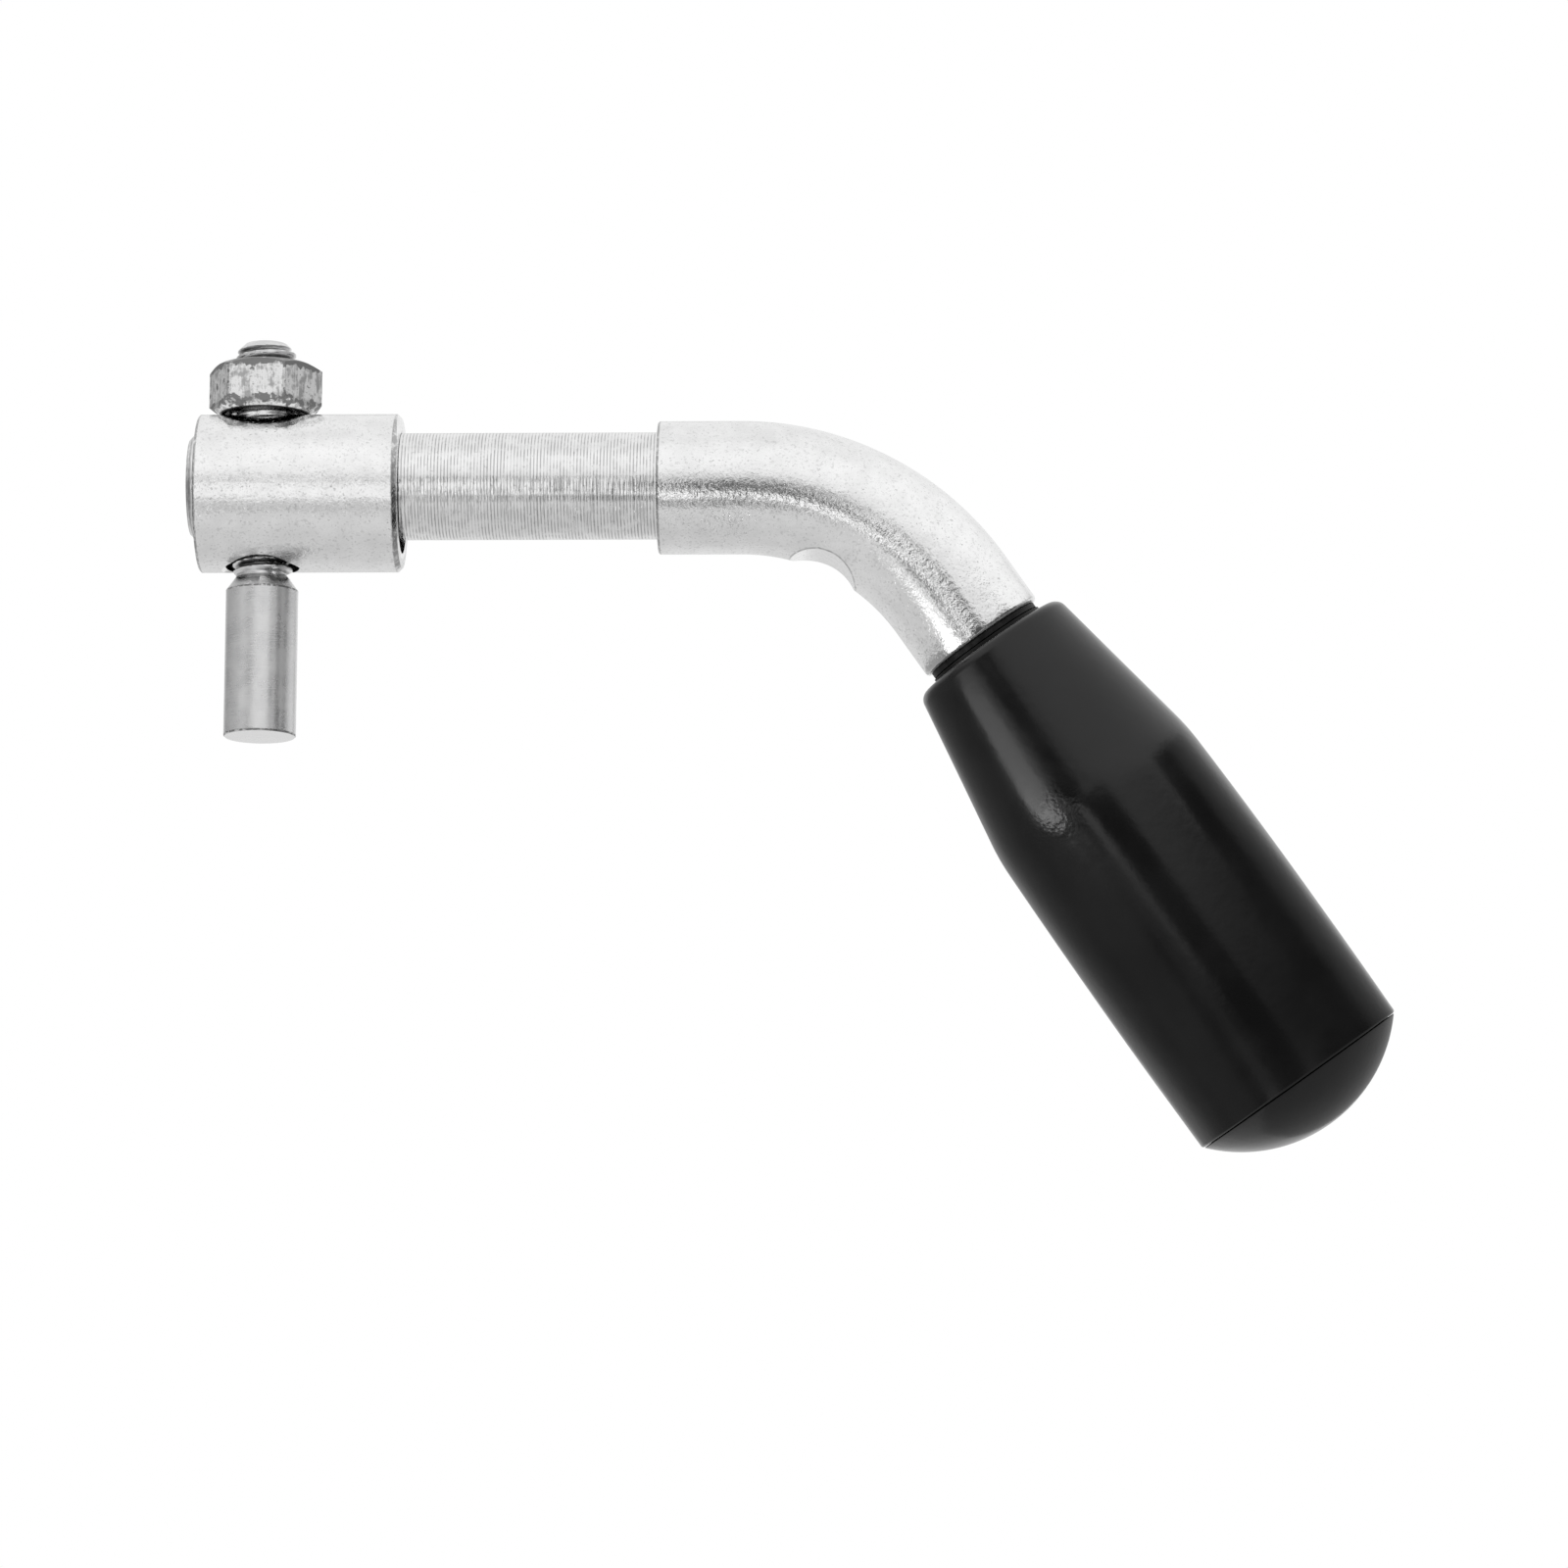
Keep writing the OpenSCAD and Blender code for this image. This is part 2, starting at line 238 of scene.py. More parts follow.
# Cards that stand round the handle and show only in its reflections. Each has its corners in
# millimetres, the direction along which its brightness changes, and its brightness at distances
# along that direction.
upright = Vector((0, 0, 1))
sideways = Vector((0, 1, 0))
down_right = Vector((0.68, 0, -0.73))
lamp_levels = [(-104, 0.7), (-98, 1.2), (-91, 1.4), (-27, 1.4)]
studio_cards = [
    ("lamp", [(-95, -130, -27), (-129, -78, -27), (-129, -78, -76), (-95, -130, -76)],
     upright, lamp_levels),
    ("low_lamp", [(-84, -146, -76), (-130, -101, -76), (-130, -101, -103), (-84, -146, -103)],
     upright, lamp_levels),
    ("grip_lamp", [
        (15, -13, -24.5), (15, -25, -22.8), (15, -33, -34), (15, -36, -39), (15, -39, -49),
        (15, -31, -47.5), (15, -19, -44.5), (15, -16, -38)],
     upright,
     [(-49, 2.2), (-46, 4.4), (-41.5, 5.6), (-38.5, 3.7), (-35, 2.6), (-30, 2.3), (-25, 2.0),
      (-22, 1.9)]),
    ("arm_flag", [
        (-3, -60, -13), (-3, -60, 12), (8, -60, 13), (18, -60, 15), (17, -60, 5), (13, -60, -2),
        (10, -60, -12)],
     upright, [(-13, 0.5), (-8, 0.36), (-4, 0.08), (1, 0.1), (6, 0.5), (15, 0.62)]),
    ("camera_side", [(14, -690, 52), (14, -690, 140), (104, -690, 140), (104, -690, 52)],
     upright, [(52, 0.22), (140, 0.22)]),
    ("left_shelf", [(-134, -690, 150), (-134, -690, 202), (-82, -690, 202), (-82, -690, 150)],
     upright, [(150, 0.22), (202, 0.22)]),
    ("left_foot", [(-134, -690, -385), (-134, -690, -325), (-82, -690, -325), (-82, -690, -385)],
     upright, [(-385, 0.16), (-325, 0.16)]),
    ("white_strip", [
        (-22, -150, -36), (-4, -150, -36), (3, -150, -48), (6, -150, -60), (-14, -150, -63),
        (-22, -150, -55)],
     upright, [(-63, 1.25), (-36, 1.25)]),
    ("grey_strip", [(-6, -150, -68), (8, -150, -68), (8, -150, -118), (-17, -150, -118)],
     upright, [(-118, 0.25), (-90, 0.28), (-68, 0.5)]),
    ("front_flag", [(-5, -150, -26), (54, -150, 12), (129, -150, -92), (70, -150, -133)],
     upright, [(-129, 0.07), (14, 0.09)]),
    ("low_flag", [(3, -150, -83), (24, -150, -67), (72, -150, -132), (50, -150, -148)],
     upright, [(-148, 0.11), (-67, 0.11)]),
    ("fading_flag", [
        (54, -150, 10), (100, -150, 43), (180, -150, 96), (380, -150, 208), (380, -150, -160),
        (175, -150, -160)],
     down_right,
     [(22, 0.88), (37, 0.80), (52, 0.70), (62, 0.58), (72, 0.42), (82, 0.28), (94, 0.18),
      (120, 0.08)]),
    ("right_flag", [(85, -28, 7), (85, 130, 7), (85, 130, -50), (85, -28, -50)], sideways,
     [(-28, 0.12), (-12, 0.07), (-8, 0.10), (-3, 0.27), (8, 0.40), (24, 0.53), (45, 0.85)]),
    ("dome_card", [(85, -120, -51), (85, 80, -51), (85, 80, -200), (85, -120, -200)],
     upright, [(-200, 0.34), (-51, 0.40)]),
    ("left_card", [
        (15, -12, -25), (15, 60, -25), (15, 130, -40), (15, 130, -170), (15, -100, -170),
        (15, -98, -92), (15, -72, -66), (15, -62, -52), (15, -38, -50), (15, -22, -43),
        (15, -12, -36)],
     sideways,
     [(-100, 0.16), (-62, 0.18), (-52, 0.32), (-20, 0.34), (-8, 0.27), (15, 0.36), (30, 0.52),
      (45, 0.56), (80, 0.5)]),
]
for card_name, corners, direction, levels in studio_cards:
    card_mesh = bpy.data.meshes.new(card_name)
    card_mesh.from_pydata([Vector(corner) * MM for corner in corners], [], [range(len(corners))])
    card_finish = bpy.data.materials.new(card_name)
    panel = Shader(card_finish)
    along = panel.node(
        "VectorMath", {"operation": "DOT_PRODUCT"}, panel.node("TexCoord", {}, out=3),
        tuple(direction), out=1)
    first, last = levels[0][0], levels[-1][0]
    brightest = max(level for place, level in levels)
    stops = [((place - first) / (last - first), level / brightest) for place, level in levels]
    tone = panel.node("ValToRGB", {"stops": stops}, (along * (1 / MM) - first) / (last - first))
    panel.node("OutputMaterial", {}, panel.node("Emission", {}, tone, brightest))
    card_mesh.materials.append(card_finish)
    studio_card = bpy.data.objects.new(card_name, card_mesh)
    studio_card.visible_camera = False
    studio_card.visible_diffuse = False
    studio_card.visible_transmission = False
    studio_card.visible_shadow = False
    scene.collection.objects.link(studio_card)
    studio_card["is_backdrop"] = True

# The camera looks at the middle of the picture, which is given here in the handle's own frame, and
# stands a little to the right of it and a little below.
aim = Vector((12.5, 0.0, -29.84)) * MM
camera_distance = 683 * MM
camera_turn = math.radians(1.75)
camera_rise = math.radians(-3.5)
camera_back = Vector((
    math.sin(camera_turn) * math.cos(camera_rise),
    -math.cos(camera_turn) * math.cos(camera_rise),
    math.sin(camera_rise)))
camera_data = bpy.data.cameras.new("camera")
camera_data.sensor_width = 36.0
camera_data.lens = 157.5
camera = bpy.data.objects.new("camera", camera_data)
camera.location = aim + camera_back * camera_distance
camera.rotation_mode = "QUATERNION"
camera.rotation_quaternion = (-camera_back).to_track_quat("-Z", "Y")
scene.collection.objects.link(camera)
scene.camera = camera


# Handle rod: one bright zinc plated steel bar, turned down at one end for the shaft that runs in
# the door's bush, bent on a former, and milled with a shallow notch inside the bend. The other end
# is drilled and tapped for the grip's spindle.
shaft_r = 5.35
shaft_l = 46.85
shaft_chamfer = 0.55
arm_r = 6.65
arm_drop = 0.2
arm_start_l = 8.3
shoulder_chamfer = 0.15
bend_r = 25.6
bend_angle = math.radians(54.6)
arm_end_l = 5.4
arm_end_r = 0.5
spindle_hole_r = 4.02
spindle_hole_l = 11.5
spindle_hole_point = 1.5
stud_hole_r = 3.02
stud_hole_reach = 9.0

# Under the collar the shaft is drawn plain, and from there to the shoulder with its turning marks
plain_end_x = -26.0
turned_x = -25.7
turned_l = 25.6
feed = 0.33
feed_depth = 0.009

# How finely the rod is drawn
rod_points = 128
ring_gap = 1.5
rings_per_feed = 4
bend_steps = 44
arm_end_rings = (-3.6, -2.2, -1.2)
arm_edge_steps = 6

bend_centre = Vector((arm_start_l, 0.0, -arm_drop - bend_r))


def circle(centre, along, r, points):
    """A ring of points round an axis that lies in the plane of the bend."""
    across = Vector((0.0, 1.0, 0.0))
    up = along.cross(across).normalized()
    turns = [2 * math.pi * k / points for k in range(points)]
    radius = r if callable(r) else lambda t: r
    return [centre + radius(t) * (math.cos(t) * up + math.sin(t) * across) for t in turns]


def skin(name, rings, joined=False):
    """A closed skin from ring to ring in millimetres, capped at its ends or joined end to end."""
    shape = bmesh.new()
    loops = [[shape.verts.new(point * MM) for point in ring] for ring in rings]
    pairs = list(zip(loops, loops[1:] + ([loops[0]] if joined else [])))
    for one, two in pairs:
        if len(one) == 1:
            one, two = two, one
        for k in range(len(one)):
            after = (k + 1) % len(one)
            if len(two) == 1:
                shape.faces.new((one[k], one[after], two[0]))
            else:
                shape.faces.new((one[k], one[after], two[after], two[k]))
    bmesh.ops.recalc_face_normals(shape, faces=shape.faces)
    mesh = bpy.data.meshes.new(name)
    shape.to_mesh(mesh)
    shape.free()
    piece = bpy.data.objects.new(name, mesh)
    scene.collection.objects.link(piece)
    return piece


def cut(piece, *cutters):
    """Cuts the shapes of the cutters out of the piece and throws the cutters away."""
    for cutter in cutters:
        tool = piece.modifiers.new("cut", "BOOLEAN")
        tool.operation = "DIFFERENCE"
        tool.solver = "EXACT"
        tool.object = cutter
    bpy.context.view_layer.update()
    ready = piece.evaluated_get(bpy.context.evaluated_depsgraph_get())
    mesh = bpy.data.meshes.new_from_object(ready)
    piece.modifiers.clear()
    piece.data = mesh
    for cutter in cutters:
        bpy.data.objects.remove(cutter)


def dress(piece, material, node, body, crease=28):
    """Smooths the piece except at its edges, and puts it on the frame."""
    piece.data.shade_smooth()
    piece.data.set_sharp_from_angle(angle=math.radians(crease))
    piece.data.materials.clear()
    piece.data.materials.append(material)
    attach(piece, body)
    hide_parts(node)


def bar(x_low, x_high, r, drop=0.0):
    """Rings along the shaft's direction from one x to another."""
    steps = max(1, round((x_high - x_low) / ring_gap))
    places = [x_low + (x_high - x_low) * k / steps for k in range(steps + 1)]
    return [circle(Vector((x, 0, -drop)), shaft_axis, r, rod_points) for x in places]


def along_grip(z, r, points=rod_points):
    """A ring of radius r about the grip's axis, z from the end of the arm."""
    return circle(arm_end + z * grip_axis, grip_axis, r, points)


shaft_axis = Vector((1, 0, 0))
grip_axis = Vector((math.cos(bend_angle), 0, -math.sin(bend_angle)))
bend_end = bend_centre + bend_r * Vector((math.sin(bend_angle), 0, math.cos(bend_angle)))
arm_end = bend_end + arm_end_l * grip_axis

shaft_end = Vector((-shaft_l, 0, 0))
rod_rings = [[shaft_end], circle(shaft_end, shaft_axis, shaft_r - shaft_chamfer, rod_points)]
rod_rings += bar(-shaft_l + shaft_chamfer, plain_end_x, shaft_r)


def turned_r(x):
    """The shaft's radius at x, with the spiral that the turning tool left."""
    def r(t):
        wave = (x / feed + t / (2 * math.pi)) % 1.0
        depth = feed_depth * (0.6 + 0.8 * noise.noise(Vector((x * 1.1, math.cos(t), math.sin(t)))))
        return shaft_r - depth * (1 - abs(2 * wave - 1) ** 2)
    return r


feed_steps = round(turned_l / feed * rings_per_feed)
for k in range(feed_steps):
    x = turned_x + turned_l * k / feed_steps
    rod_rings.append(circle(Vector((x, 0, 0)), shaft_axis, turned_r(x), rod_points))
rod_rings.append(circle(Vector((0, 0, 0)), shaft_axis, shaft_r, rod_points))
rod_rings += bar(0, 0, arm_r - shoulder_chamfer, arm_drop)[:1]
rod_rings += bar(shoulder_chamfer, arm_start_l, arm_r, arm_drop)
for k in range(1, bend_steps + 1):
    turn = bend_angle * k / bend_steps
    out = Vector((math.sin(turn), 0, math.cos(turn)))
    along = Vector((math.cos(turn), 0, -math.sin(turn)))
    rod_rings.append(circle(bend_centre + bend_r * out, along, arm_r, rod_points))
for z in arm_end_rings:
    rod_rings.append(along_grip(z, arm_r))
for k in range(arm_edge_steps + 1):
    turn = math.pi / 2 * k / arm_edge_steps
    rod_rings.append(along_grip(
        -arm_end_r + arm_end_r * math.sin(turn), arm_r - arm_end_r + arm_end_r * math.cos(turn)))
rod_rings.append(along_grip(0, spindle_hole_r))
rod_rings.append(along_grip(-spindle_hole_l, spindle_hole_r))
rod_rings.append([arm_end - (spindle_hole_l + spindle_hole_point) * grip_axis])
rod = skin("rod", rod_rings)


def drill(place, profile, points):
    """A round cutter about the place's own z axis, from pairs of height and radius."""
    rings = [[place @ Vector((0, 0, profile[0][0]))]]
    for z, r in profile:
        rings.append([
            place @ Vector((r * math.cos(t), r * math.sin(t), z))
            for t in (2 * math.pi * k / points for k in range(points))])
    rings.append([place @ Vector((0, 0, profile[-1][0]))])
    return skin("cutter", rings)


# The notch is part of a round groove across the inside of the bend, made for the door's catch. The
# cross hole leans as much as the stud does.
notch_d = 9.0
notch_depth = 1.4
notch_reach = 13.0
notch_at = math.radians(25.6)
notch_turn = math.radians(4.5)
stud_x = -39.55
stud_turn = math.radians(7)
stud_place = Matrix.Translation((stud_x, 0, 0)) @ Matrix.Rotation(-stud_turn, 4, "X")
notch_place = (
    Matrix.Translation(bend_centre) @ Matrix.Rotation(notch_at, 4, "Y")
    @ Matrix.Translation((0, 0, bend_r)) @ Matrix.Rotation(-notch_turn, 4, "X")
    @ Matrix.Translation((0, 0, -arm_r + notch_depth - notch_d / 2))
    @ Matrix.Rotation(math.pi / 2, 4, "X"))
cut(rod,
    drill(notch_place, [(-notch_reach, notch_d / 2), (notch_reach, notch_d / 2)], 128),
    drill(stud_place, [(-stud_hole_reach, stud_hole_r), (stud_hole_reach, stud_hole_r)], 64))

# The rod and the collar have the same bright plate. It is made up under the collar, because it
# paints shade along the edges of both.
bright_zinc = bpy.data.materials.new("bright_zinc")
dress(rod, bright_zinc, "handle_rod", "handle")


# Latch collar: a loose bright zinc plated steel sleeve on the end of the shaft. It is cross drilled
# and countersunk for the stud, hangs on it with play, and keeps the shaft in the door's bush.
collar_low_x = -45.9
collar_high_x = -25.7
collar_r = 7.91
collar_bore_r = 6.03
collar_drop = 0.66
collar_end_chamfer = 0.15
collar_chamfer = 0.4
cross_r = 3.65
cross_chamfer = 0.35
cross_reach = 2.0
collar_points = 160
collar_step = 1.94
collar_steps = 10

collar_place = Matrix.Rotation(-stud_turn, 4, "X") @ Matrix.Translation((0, 0, -collar_drop))


def collar_ring(x, r):
    return [
        collar_place @ Vector((x, r * math.sin(t), r * math.cos(t)))
        for t in (2 * math.pi * k / collar_points for k in range(collar_points))]


collar_rings = [
    collar_ring(collar_low_x, collar_bore_r),
    collar_ring(collar_low_x, collar_r - collar_end_chamfer),
    collar_ring(collar_low_x + collar_end_chamfer, collar_r)]
collar_rings += [
    collar_ring(collar_low_x + collar_chamfer + k * collar_step, collar_r)
    for k in range(collar_steps + 1)]
collar_rings += [
    collar_ring(collar_high_x - collar_chamfer, collar_r),
    collar_ring(collar_high_x, collar_r - collar_chamfer),
    collar_ring(collar_high_x, collar_bore_r)]
collar = skin("collar", collar_rings, joined=True)
rim_z = collar_r - cross_chamfer - collar_drop
low_rim_z = -collar_r + cross_chamfer - collar_drop
sink_r = cross_r + cross_chamfer + cross_reach
cut(collar, drill(stud_place, [
    (low_rim_z - cross_reach, sink_r), (low_rim_z, cross_r),
    (rim_z, cross_r), (rim_z + cross_reach, sink_r)], 96))
dress(collar, bright_zinc, "latch_collar", "handle")


def off_axis_mm(shader, spot, place):
    """How far a point lies from the place's own z axis, in millimetres."""
    away = shader.node(
        "VectorMath", {"operation": "SUBTRACT"}, spot, tuple(place.translation * MM))
    across = shader.node(
        "VectorMath", {"operation": "CROSS_PRODUCT"}, away, tuple(place.col[2].xyz))
    return shader.node("VectorMath", {"operation": "LENGTH"}, across, out=1) * (1 / MM)


# Bright zinc: a near mirror that breaks up into fine speckle, with slightly duller clouds and pits.
# The turned shaft keeps the irregular rings that the tool left, three to the millimetre. These
# places tell the shaft, the arm and the collar apart, and say where the scratch on the collar is.
shoulder_side_x = -0.05
shaft_side_r = shaft_r + 0.25
arm_side_r = arm_r - 0.4
collar_side_r = 7.2
scratch_low = -1.99
scratch_high = -1.92
scratch_end_x = -41.8
zinc = Shader(bright_zinc)
spot = zinc.node("TexCoord", {}, out=3)
parts = zinc.node("SeparateXYZ", {}, spot)
x_mm, y_mm, z_mm = parts * (1 / MM), parts.other(1) * (1 / MM), parts.other(2) * (1 / MM)
r_mm = zinc.node("VectorMath", {"operation": "LENGTH"}, zinc.node(
    "VectorMath", {"operation": "MULTIPLY"}, spot, (0.0, 1.0, 1.0)), out=1) * (1 / MM)
turned = (x_mm < shoulder_side_x) * (r_mm < shaft_side_r)
speckle = zinc.node("TexNoise", {}, Vector=spot, Scale=2000.0, Detail=3.0, Roughness=0.62)
cloud = zinc.node("TexNoise", {}, Vector=spot, Scale=520.0, Detail=3.0, Roughness=0.55)
pits = zinc.node("TexNoise", {}, Vector=spot, Scale=2600.0, Detail=3.0, Roughness=0.6)
pitting = pits.step(0.62, 0.72)
stretched = zinc.node("VectorMath", {"operation": "MULTIPLY"}, spot, (4600.0, 160.0, 160.0))
ring_marks = zinc.node("TexNoise", {}, Vector=stretched, Scale=1.0, Detail=2.0, Roughness=0.65)
speckle_height = speckle + pitting * -0.4
zinc_height = speckle_height + turned * (ring_marks - speckle_height * 0.7)
zinc_tone = zinc.blend(cloud.step(0.3, 0.7), grey(0.86), grey(0.93))

# Dull grey in the turning marks, the grain, the pits and a scratch on the collar, and painted shade
# along the edges of the shoulder, the collar's ends, the shaft's end and the notch's rim. The
# widths of the lines are in millimetres.
grain = zinc.node("TexNoise", {}, Vector=spot, Scale=2600.0, Detail=2.0, Roughness=0.6)
feed_wave = zinc.node(
    "Math", {"operation": "SINE"}, x_mm * (2 * math.pi / feed) + 2.0 * ring_marks)
line_marks = zinc.node("TexNoise", {}, Vector=spot, Scale=900.0, Detail=2.0, Roughness=0.6)
feed_lines = turned * feed_wave.step(0.0, 0.8) * (0.35 + 0.65 * line_marks.step(0.36, 0.58)) * 0.85
# Painted shade: dark lines at the shoulder, the collar's ends, the shaft's end and the notch's rim
shoulder_shade_line = x_mm.within(-0.1, 0.24, 0.05) * (r_mm > arm_side_r) * 1.3
on_collar = r_mm > collar_side_r
collar_shade_lines = on_collar * (
    x_mm.within(collar_high_x - 0.5, collar_high_x + 0.1, 0.06)
    + x_mm.within(collar_low_x - 0.1, collar_low_x + 0.26, 0.05))
end_shade_line = x_mm.within(-shaft_l - 0.1, -shaft_l + shaft_chamfer, 0.05) * 0.5
scratch = on_collar * (y_mm < 0.0) * (x_mm < scratch_end_x) * z_mm.within(
    scratch_low, scratch_high, 0.02)
notch_shade_line = off_axis_mm(zinc, spot, notch_place).within(
    notch_d / 2 + 0.015, notch_d / 2 + 0.13, 0.03)
edge_shade_and_scratch = shoulder_shade_line + collar_shade_lines + end_shade_line + scratch * 0.7 + notch_shade_line * 0.75
edge_shade_mottle = zinc.node("TexNoise", {}, Vector=spot, Scale=2200.0, Detail=3.0, Roughness=0.65)
dulled_and_shaded = (
    0.4 * pitting + (1 - turned) * grain.step(0.46, 0.30) * 0.32 + feed_lines
    + edge_shade_and_scratch * (0.3 + 0.7 * edge_shade_mottle.step(0.34, 0.56)))
worn_and_shaded_tone = zinc.blend(dulled_and_shaded.clamp(), zinc_tone, grey(0.42))

# The wall of the lower cross hole lies in shadow and looks nearly black
in_hole = (z_mm < 0.0) * (off_axis_mm(zinc, spot, stud_place) < cross_r + 0.02)
hole_tone = zinc.blend(in_hole, worn_and_shaded_tone, grey(0.05))
zinc.node("OutputMaterial", {}, zinc.node(
    "BsdfPrincipled", {}, Base_Color=hole_tone, Metallic=1.0,
    Roughness=0.07 + 0.03 * cloud.step(0.35, 0.65) + 0.10 * pitting,
    Normal=zinc.node("Bump", {}, Strength=1.0, Distance=4.4e-5, Height=zinc_height)))


# Latch stud: turned steel, screwed through the shaft. The plain lower end is the pin that pulls the
# door shut, and the threaded end stands up through the collar for the lock nut.
thread_r = 3.0
thread_depth = 0.61
thread_pitch = 1.0
thread_chamfer = 0.9
thread_start = 0.47
thread_root = 0.12
thread_flank = 0.6
neck_r = 2.65
neck_l = 0.3
neck_groove = 0.1
pin_r = 3.6
pin_l = 14.8
pin_cone_l = 1.3
pin_edge = 0.12
stud_top = 14.62
cone_top = -9.34
pin_top = cone_top - pin_cone_l
pin_tip = pin_top - pin_l

# Between the shaft and the nut, zinc fills most of the thread's depth
gap_low = 5.3
gap_high = 7.2
gap_thread = 0.15

# How finely the stud is drawn
stud_points = 96
rings_per_mm = 14
pin_low_ring = 5.0
pin_high_ring = 3.0


def stud_ring(z, r):
    rings = []
    for k in range(stud_points):
        t = 2 * math.pi * k / stud_points
        size = r(z, t) if callable(r) else r
        rings.append(stud_place @ Vector((size * math.cos(t), size * math.sin(t), z)))
    return rings


def thread(z, t):
    """The radius of the thread, which fades out at the top chamfer and at the neck."""
    wave = abs((z / thread_pitch - t / (2 * math.pi) + thread_start) % 1.0 - 0.5) * 2
    tooth = min(1.0, max(0.0, (wave - thread_root) / thread_flank))
    depth = thread_depth * (gap_thread if gap_low < z < gap_high else 1.0)
    r = thread_r - depth * (1 - tooth)
    r = min(r, stud_top - z + thread_r - thread_chamfer)
    return min(r, max(neck_r - neck_groove, z - cone_top - neck_l + neck_r))


stud_rings = [[stud_place @ Vector((0, 0, pin_tip))], stud_ring(pin_tip, pin_r - pin_edge)]
for z in (pin_tip + pin_edge, pin_tip + pin_low_ring, pin_top - pin_high_ring, pin_top):
    stud_rings.append(stud_ring(z, pin_r))
stud_rings.append(stud_ring(cone_top, neck_r))
thread_low = cone_top + neck_l
thread_steps = round((stud_top - thread_low) * rings_per_mm)
stud_rings += [
    stud_ring(thread_low + (stud_top - thread_low) * k / thread_steps, thread)
    for k in range(thread_steps + 1)]
stud_rings.append([stud_place @ Vector((0, 0, stud_top))])
stud = skin("stud", stud_rings)

# Turned zinc: a satin plate over fine turning marks that run round the stud, lighter on the pin's
# end and painted lighter in the gap under the nut, where the threads shine, and with painted shade
# in the thread's grooves, at the neck and along the edges.
turned_zinc = bpy.data.materials.new("turned_zinc")
satin = Shader(turned_zinc)
spot = satin.node("TexCoord", {}, out=3)
leaned = satin.node(
    "Mapping", {"vector_type": "POINT"}, Vector=spot, Rotation=(stud_turn, 0.0, 0.0))
stretched = satin.node("VectorMath", {"operation": "MULTIPLY"}, leaned, (380.0, 380.0, 6500.0))
turning = satin.node("TexNoise", {}, Vector=stretched, Scale=1.0, Detail=2.0, Roughness=0.6)
frost = satin.node("TexNoise", {}, Vector=spot, Scale=5200.0, Detail=2.0, Roughness=0.6)
cloud = satin.node("TexNoise", {}, Vector=spot, Scale=420.0, Detail=3.0, Roughness=0.6)
satin_tone = satin.blend(cloud.step(0.3, 0.7), (0.70, 0.70, 0.705, 1.0), grey(0.80))
along_stud = satin.node("SeparateXYZ", {}, leaned, out=2) * (1 / MM)
edge_line_mottle = satin.node("TexNoise", {}, Vector=spot, Scale=2600.0, Detail=3.0, Roughness=0.65)
# Painted shade: dark lines at the cone's edge, the neck and the pin's tip, and in the thread's
# grooves
cone_shade_line = along_stud.within(pin_top - 0.16, pin_top + 0.02, 0.04) * edge_line_mottle.step(0.40, 0.56)
neck_shade_line = along_stud.within(cone_top - 0.32, cone_top + 0.02, 0.05) * 0.6
tip_shade_line = along_stud.within(pin_tip + 0.04, pin_tip + 0.22, 0.03) * edge_line_mottle.step(0.38, 0.54)
# Painted light: lighter grey in the gap under the nut, where the threads shine; the pin's end is
# lighter too
lightened = (along_stud < pin_tip + 0.005) + (along_stud > gap_low) * (along_stud < gap_high + 0.1)
lightened_tone = satin.blend(lightened, satin_tone, grey(0.95))
on_thread = (along_stud > cone_top + 0.4) * (along_stud < stud_top - thread_chamfer + 0.1)
groove_shade = off_axis_mm(satin, spot, stud_place).step(2.86, 2.56) * on_thread
painted_stud_shade = (cone_shade_line + neck_shade_line + tip_shade_line + groove_shade) * 0.85
stud_shaded_tone = satin.blend(painted_stud_shade.clamp(), lightened_tone, grey(0.16))
satin.node("OutputMaterial", {}, satin.node(
    "BsdfPrincipled", {}, Base_Color=stud_shaded_tone, Metallic=1.0,
    Roughness=0.24 + 0.08 * cloud.step(0.3, 0.7),
    Normal=satin.node(
        "Bump", {}, Strength=1.0, Distance=1.6e-5, Height=turning * 0.6 + frost * 0.6)))
dress(stud, turned_zinc, "latch_stud", "handle", 30)


# Lock nut: a plain M6 nut, hot formed and galvanised, run down against the collar to lock the stud.
# It is chamfered at both ends, the lower one more steeply, and its corners are slightly rounded.
nut_af = 10.0
nut_h = 5.0
nut_low = 7.27
nut_face_r = 4.75
nut_low_face_r = 4.45
nut_low_slope = 0.78
nut_top_slope = math.tan(math.radians(30))
nut_flat_rings = (3.6, 2.5, 1.4)
nut_turn = math.radians(-4.9)
nut_bore_r = 3.02
nut_sink = 0.4
nut_corner = 0.3

# The points round the nut, in degrees from corner to corner, closer together at the corners
side_steps = (
    0, 0.75, 1.5, 3.5, 7, 11, 15.5, 20, 25, 30, 35, 40, 44.5, 49, 53, 56.5, 58.5, 59.25)
nut_turns = [nut_turn + math.radians(60 * side + step) for side in range(6) for step in side_steps]


def hexagon(t):
    """The distance from the nut's axis to its flats, with the corners rounded."""
    off_flat = (t - nut_turn) % (math.pi / 3) - math.pi / 6
    off_corner = math.pi / 6 - abs(off_flat)
    round_centre = (nut_af / 2 - nut_corner) / math.cos(math.pi / 6)
    reach = nut_corner ** 2 - (round_centre * math.sin(off_corner)) ** 2
    tangent = math.atan2(nut_corner / 2, round_centre + nut_corner * math.cos(math.pi / 6))
    if off_corner < tangent:
        return round_centre * math.cos(off_corner) + math.sqrt(reach)
    return nut_af / 2 / math.cos(off_flat)


def nut_ring(z, r):
    ring = []
    for t in nut_turns:
        size = r(t) if callable(r) else r
        height = z(t) if callable(z) else z
        point = Vector((size * math.cos(t), size * math.sin(t), nut_low + height))
        ring.append(stud_place @ point)
    return ring


